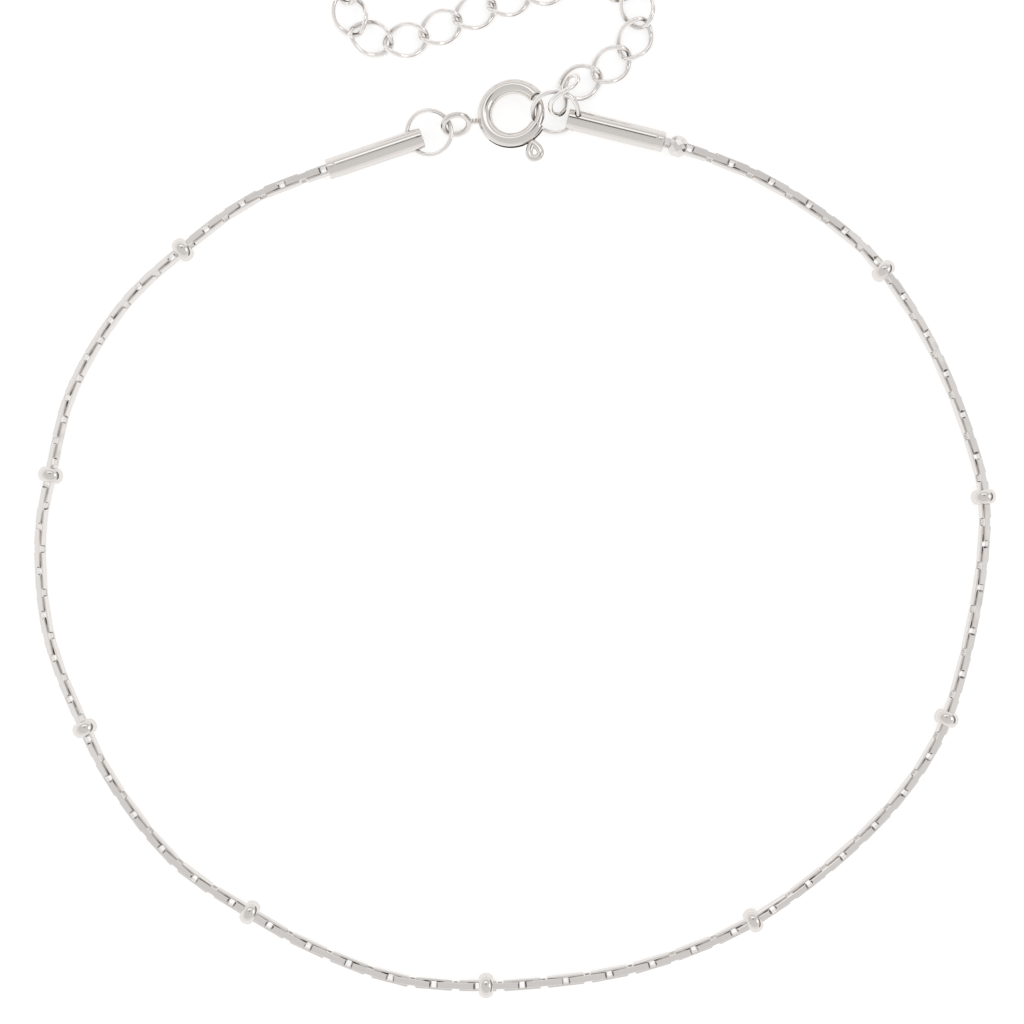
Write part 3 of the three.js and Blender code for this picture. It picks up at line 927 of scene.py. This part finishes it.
@dataclass
class SpringRing:
    """The clasp: a slotted tube bent to a ring, its eye, and the bolt with its thumb loop.

    Angles are in degrees in the clasp's own plane, from its +X.

    Attributes:
        eye, neck_sink: The eye, and how deep its neck is soldered into the tube.
        centre, lift, up_to: Where the clasp lies and how its plane slopes.
        radius, tube, bore: Radii to the middle of the tube, of the tube and of its bore.
        upper_end, lower_end: Where the tube's two ends are.
        soft, soft_span: Size of the rounding at those ends, and the angle that it takes.
        slot_half, slot_end, slot_round: Half the slot's height, where it stops, and its round end.
        hair: Half the seam's width beyond the slot.
        bolt, bolt_tail, bolt_tip: The bolt's radius, and where its two ends are at rest.
        trigger: Where the thumb loop's stem stands at rest.
        stem, stem_flat, stem_reach: The stem's half width, its flattening and its reach past the tube.
        loop, loop_wire: Half sizes of the loop, along and across, and of its wire, up and across.
        loop_lean, loop_stand: The loop's direction, and how far it starts from the tube.
    """

    eye: Eye = Eye()
    centre: tuple[float, float, float] = (0.04, 27.78, 1.09)
    lift: float = 16.0
    up_to: float = -50.0
    radius: float = 1.975
    tube: float = 0.525
    bore: float = 0.36
    upper_end: float = 36.0
    lower_end: float = 334.0
    soft: float = 0.045
    soft_span: float = 2.1
    slot_half: float = 0.165
    slot_end: float = 232.5
    slot_round: float = 6.0
    hair: float = 0.004
    neck_sink: float = 0.1
    bolt: float = 0.3
    bolt_tail: float = -76.5
    bolt_tip: float = 43.0
    trigger: float = -56.5
    stem: float = 0.15
    stem_flat: float = 0.87
    stem_reach: float = 0.2
    loop: tuple[float, float] = (0.575, 0.51)
    loop_wire: tuple[float, float] = (0.2, 0.26)
    loop_lean: float = -77.0
    loop_stand: float = 0.13

    def placed(self, skin: Skin) -> Skin:
        """Returns a surface moved from the clasp's own plane to where the clasp lies."""
        return skin.placed(lift_turn(self.lift, self.up_to), np.array(self.centre))

    def arc(self, degrees: Array) -> tuple[Array, Array]:
        """Gives the tube's centre line at some angles, and the directions out from the middle."""
        out = level_way(np.radians(degrees))
        return self.radius * out, out

    def slotted_tube(self) -> Skin:
        """Builds the tube as a C section carried round its arc.

        The C opens outwards. Half its opening is h: the slot's half height along the slot, falling to
        a hair at the slot's rounded end by a quarter circle. The outer arc runs from the angle whose
        sine is h over the outer radius, and the inner one from that of h over the bore, so the slot's
        lips are parallel. At the two ends the wall is rounded.

        Returns:
            Its surface in the clasp's plane.
        """
        span, turn_in = self.soft_span, self.slot_round
        rim = np.array([0.0, 0.25, 0.6, 1.0, 1.5, span])
        middle = np.linspace(self.upper_end + span, self.slot_end - turn_in, 90)
        finish = self.slot_end + turn_in * (np.linspace(0.0, 1.0, 20) ** 1.6 - 0.9)
        slotted = np.linspace(self.slot_end + 1.0, self.lower_end - span, 60)
        parts = [self.upper_end + rim, middle, finish, slotted, self.lower_end - rim]
        degrees = np.unique(np.concatenate(parts))
        half = self.slot_half * quarter_round(1.0 + (degrees - self.slot_end) / turn_in)
        half = np.maximum(half, self.hair)
        near_end = np.minimum(degrees - self.upper_end, self.lower_end - degrees)
        soft = self.soft * (1.0 - quarter_round(near_end / span))
        path, out = self.arc(degrees)
        columns = 40
        share = np.linspace(0.0, 1.0, columns)
        arcs = []
        for radius in ((self.tube - soft)[:, None], (self.bore + soft)[:, None]):
            start = np.arcsin(half[:, None] / radius)
            sweep = start + share * (FULL_TURN - 2.0 * start)
            arcs.append(radius[..., None] * level_way(sweep)[..., :2])
        section = np.concatenate([arcs[0], arcs[1][:, ::-1]], axis=1)
        skin = swept(path, out, section, is_ring=False)
        k = np.arange(columns - 1)
        end = np.stack([k, k + 1, 2 * columns - 2 - k, 2 * columns - 1 - k], axis=1)
        to_last = len(skin.vertices) - 2 * columns
        return Skin(skin.vertices, [skin.faces[0], end, end[:, ::-1] + to_last])

    def neck_foot(self) -> Array:
        """Returns the plan place where the eye's neck ends, a little inside the tube's wall."""
        toward = math.atan2(self.eye.centre[1] - self.centre[1], self.eye.centre[0] - self.centre[0])
        reach = self.radius + self.tube - self.neck_sink
        return self.placed(Skin(reach * level_way(toward), [])).vertices

    def bolt_rod(self) -> Skin:
        """Builds the bolt, a bent round rod whose radius follows a quarter circle at each end.

        Returns:
            Its surface in the clasp's plane.
        """
        count, end_steps, least = 90, 5, 0.08
        path, out = self.arc(np.linspace(self.bolt_tail, self.bolt_tip, count))
        place = np.minimum(np.arange(count), np.arange(count)[::-1]) / end_steps
        scale = quarter_round(np.maximum(place, least))[:, None, None]
        return swept(path, out, scale * circle(self.bolt, sides=24), is_ring=False)

    def thumb_loop(self) -> Skin:
        """Builds the thumb loop, thick wire bent to a drop with its point towards the tube.

        With the loop's two half sizes, the drop's centre line is along = (1 - cos t) of the one and
        across = sin t sin(t / 2) of the other, for t once round. The wire is flattened, wider in the
        loop's plane.

        Returns:
            Its surface in the clasp's plane.
        """
        t = steps_round(80)
        along, across = self.loop[0] * (1.0 - np.cos(t)), self.loop[1] * np.sin(t) * np.sin(t / 2)
        path = np.stack([along, across, 0.0 * t], axis=1)
        drop = swept(path, UP, circle(1.0, sides=18) * self.loop_wire)
        start = self.radius + self.tube + self.loop_stand
        return drop.placed(turn(UP, self.loop_lean), start * level_way(math.radians(self.trigger)))

    def stem_rod(self) -> Skin:
        """Builds the short stem that goes out through the slot, a flattened round rod.

        Returns:
            Its surface in the clasp's plane.
        """
        share = np.linspace(0.0, 1.0, 16)[:, None]
        way = level_way(math.radians(self.trigger))
        path = (self.radius + share * (self.tube + self.stem_reach)) * way
        section = circle(self.stem, sides=20) * (self.stem_flat, 1.0)
        return swept(path, UP, section, is_ring=False)

    def build(self, shop: Workshop) -> None:
        """Dresses the clasp's two pieces."""
        body = [self.placed(self.slotted_tube()), self.eye.ring(), *self.eye.neck(self.neck_foot())]
        piece = shop.mesh("spring_ring", joined(body), Crisp.TURNED)
        shop.dress(piece, "clasp_body", TUMBLED)
        moving = [self.placed(part) for part in (self.bolt_rod(), self.stem_rod(), self.thumb_loop())]
        piece = shop.mesh("bolt_and_thumb_loop", joined(moving), Crisp.TURNED)
        shop.dress(piece, "clasp_trigger", TUMBLED, body=Body.BOLT)


@dataclass(frozen=True)
class LinkPlace:
    """Where an extender link lies: its middle, its long axis' direction and its lean, in degrees."""

    x: float
    y: float
    z: float
    along: float
    lean: float = 0.0


LINK_PLACES = (
    LinkPlace(3.65, 29.05, 1.56, 60, -95),
    LinkPlace(4.75, 30.0, 0.65, 20, 5),
    LinkPlace(6.92, 31.2, 0.6, 40),
    LinkPlace(8.58, 33.02, 0.59, 62),
    LinkPlace(8.74, 35.31, 0.63, 106, -1),
    LinkPlace(7.16, 36.89, 0.76, 161),
    LinkPlace(4.78, 37.05, 0.67, 186),
    LinkPlace(2.26, 36.57, 0.62, 193),
    LinkPlace(-0.22, 35.8, 0.63, 201),
    LinkPlace(-2.63, 34.89, 0.68, 203),
    LinkPlace(-5.0, 33.82, 0.69, 206),
    LinkPlace(-7.41, 32.94, 0.67, 192),
    LinkPlace(-9.85, 33.1, 0.6, 159),
    LinkPlace(-11.33, 34.75, 0.62, 114),
    LinkPlace(-11.4, 37.05, 0.61, 90),
)


@dataclass
class Extender:
    """The loose chain of oval wire links, each twisted so that the chain lies flat.

    Attributes:
        length, width: A link's outer sizes.
        wire: The wire's diameter.
        twist: How far each end is turned about the long axis, in degrees.
    """

    length: float = 3.4
    width: float = 2.6
    wire: float = 0.35
    twist: float = 45.0

    def link(self) -> Skin:
        """Builds a link about the origin with its long axis on X.

        Its centre line is along = reach cos t, and an offset of half the width times sin t from the
        long axis, turned about that axis by the twist times cos t, for t once round.

        Returns:
            Its surface.
        """
        t = steps_round(96)
        reach, offset = 0.5 * (self.length - self.wire), 0.5 * (self.width - self.wire) * np.sin(t)
        twist = math.radians(self.twist) * np.cos(t)
        path = np.stack([reach * np.cos(t), offset * np.cos(twist), offset * np.sin(twist)], axis=1)
        return swept(path, path, circle(self.wire / 2, sides=18))

    def build(self, shop: Workshop) -> None:
        """Lays and dresses every link."""
        link = self.link()
        for number, place in enumerate(LINK_PLACES, start=1):
            frame = turn(UP, place.along) @ turn(LENGTHWISE, place.lean)
            skin = link.placed(frame, np.array([place.x, place.y, place.z]))
            piece = shop.mesh(f"curb_link_{number:02d}", skin, Crisp.DRAWN)
            shop.dress(piece, f"extender_link_{number:02d}", DRAWN_WIRE)


@dataclass(frozen=True)
class Card:
    """A bright or dark card in the tent, with a soft edge.

    Attributes:
        aim: Direction from the table to its middle, of length one.
        reach: Its half sizes along X, Y and Z, as shares of its distance.
        edge: Where its soft edge ends, as a multiple of the half sizes.
        light: Its brightness.
    """

    aim: tuple[float, float, float]
    reach: tuple[float, float, float]
    edge: float
    light: float


CARDS = (
    # The gap between the roof panels, a little behind the camera: the thin dark line on each ridge
    Card((0.0, 0.34, 0.94), (0.11, 0.1, 1.0), 1.35, 0.15),
    # The tent's door flap: the dark band on the right of every bead
    Card((0.97, 0.0, 0.12), (0.42, 0.74, 0.2), 1.25, 0.2),
    # A lamp that shines through the wall over the flap: the white spot beside each dark band
    Card((0.75, 0.08, 0.66), (0.22, 0.22, 0.1), 1.3, 2.2),
    # A long lamp behind the back wall's top: the pale streak along tubes, the clasp and the wires
    Card((-0.12, 0.6, 0.79), (0.42, 0.12, 0.09), 1.4, 1.4),
)


@dataclass
class Studio:
    """The white table, the white tent round it and the camera that looks straight down.

    Attributes:
        middle: The photograph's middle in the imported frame, in millimetres.
        view_width, view_level: Width that the picture takes in, and the height where it does.
        lens, sensor: The camera's focal length and the width of its sensor.
        table_radius, board_glow: The table's radius in metres, and its glow, which shows as clean white.
        front, back, wall: The tent's brightness: roof at the picture's bottom and top, and sides.
    """

    middle: Array
    view_width: float = 71.48
    view_level: float = 0.7
    lens: float = 120.0
    sensor: float = 36.0
    table_radius: float = 3.0
    front: float = 0.8
    back: float = 0.74
    wall: float = 1.02
    board_glow: float = 0.62

    def table(self) -> None:
        """Makes the pale matt table top, a wide level disc."""
        rim = self.table_radius * level_way(steps_round(96))
        mesh = bpy.data.meshes.new("table_top")
        mesh.from_pydata(rim, [], [list(range(len(rim)))])
        top = bpy.data.objects.new("table_top", mesh)
        bpy.context.scene.collection.objects.link(top)
        material = bpy.data.materials.new("white matt board")
        material.use_nodes = True
        shader = material.node_tree.nodes["Principled BSDF"]
        looks = {"Base Color": linear("c6c6c6"), "Roughness": 0.9, "Specular IOR Level": 0.1}
        looks |= {"Emission Color": linear("ffffff"), "Emission Strength": self.board_glow}
        for name, value in looks.items():
            shader.inputs[name].default_value = value
        mesh.materials.append(material)

    def lights(self) -> None:
        """Lights the table from all round, as inside a white tent.

        The tent's brightness is a function of the direction that it is seen in: the roof runs from
        front to back, the sides are brighter, and each card is laid over them by the distance from its
        middle, measured in its half sizes.
        """
        world = bpy.data.worlds.new("white tent")
        bpy.context.scene.world = world
        world.use_nodes = True
        tree = world.node_tree
        aim = add_node(tree, "ShaderNodeTexCoord").outputs["Generated"]
        axes = add_node(tree, "ShaderNodeSeparateXYZ", links={0: aim}).outputs
        soft = {"interpolation_type": "SMOOTHSTEP"}
        roof_ends = {"From Min": -0.5, "From Max": 0.5, "To Min": self.front, "To Max": self.back}
        roof = add_node(tree, "ShaderNodeMapRange", soft, roof_ends, {"Value": axes["Y"]})
        sides = {"From Min": 0.3, "From Max": 0.62, "To Min": 1.0, "To Max": 0.0}
        low = add_node(tree, "ShaderNodeMapRange", soft, sides, {"Value": axes["Z"]})
        parts = {0: low.outputs[0], 2: roof.outputs[0]}
        light = add_node(tree, "ShaderNodeMix", {"data_type": "FLOAT"}, {3: self.wall}, parts)
        for card in CARDS:
            aim_at, reach = np.array(card.aim), np.array(card.reach)
            scale = {1: tuple(1.0 / reach), 2: tuple(-aim_at / reach)}
            offset = add_node(tree, "ShaderNodeVectorMath", {"operation": "MULTIPLY_ADD"}, scale, {0: aim})
            middle = {0: offset.outputs[0]}
            away = add_node(tree, "ShaderNodeVectorMath", {"operation": "LENGTH"}, {}, middle)
            fade = {"From Min": 1.0, "From Max": card.edge, "To Min": 1.0, "To Max": 0.0}
            cover = add_node(tree, "ShaderNodeMapRange", soft, fade, {"Value": away.outputs["Value"]})
            parts = {0: cover.outputs[0], 2: light.outputs[0]}
            light = add_node(tree, "ShaderNodeMix", {"data_type": "FLOAT"}, {3: card.light}, parts)
        shade = tree.nodes["Background"]
        shade.inputs["Color"].default_value = linear("ffffff")
        tree.links.new(light.outputs[0], shade.inputs["Strength"])

    def camera(self) -> None:
        """Sets the camera straight above the photograph's middle, with the table's +Y upwards."""
        data = bpy.data.cameras.new("camera")
        data.lens = self.lens
        data.sensor_width = self.sensor
        height = self.view_level + self.view_width * self.lens / self.sensor
        camera = bpy.data.objects.new("camera", data)
        bpy.context.scene.collection.objects.link(camera)
        camera.location = np.array([self.middle[0], self.middle[1], height]) * MILLIMETRE
        data.clip_start = 0.01
        bpy.context.scene.camera = camera

    def build(self) -> None:
        """Builds the whole studio and sets plain colour handling."""
        self.camera()
        self.table()
        self.lights()
        bpy.context.scene.view_settings.view_transform = "Standard"
        LOG.info("studio ready")


def plan_shift() -> Array:
    """Returns where the plan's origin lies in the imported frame, from the anchor bead's packed box."""
    low, high = (np.array(corner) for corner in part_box(f"bead_{ANCHOR_BEAD:02d}"))
    station = ROUTE[BEAD_ROWS[ANCHOR_BEAD - 1]]
    return 0.5 * (low + high) / MILLIMETRE - np.array([station.x, station.y, station.z])


def main() -> None:
    """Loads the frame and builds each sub-assembly."""
    logging.basicConfig(level=logging.INFO, format="%(name)s: %(message)s")
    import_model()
    shift = plan_shift()
    LOG.info("plan origin at %s mm", np.round(shift, 4).tolist())
    shop = Workshop(shift)
    route = Route()
    Studio(shift).build()
    for part in (BoxChain(route), Beads(route), *TUBES, *RINGS, SpringRing(), Extender()):
        part.build(shop)


if __name__ == "__main__":
    main()
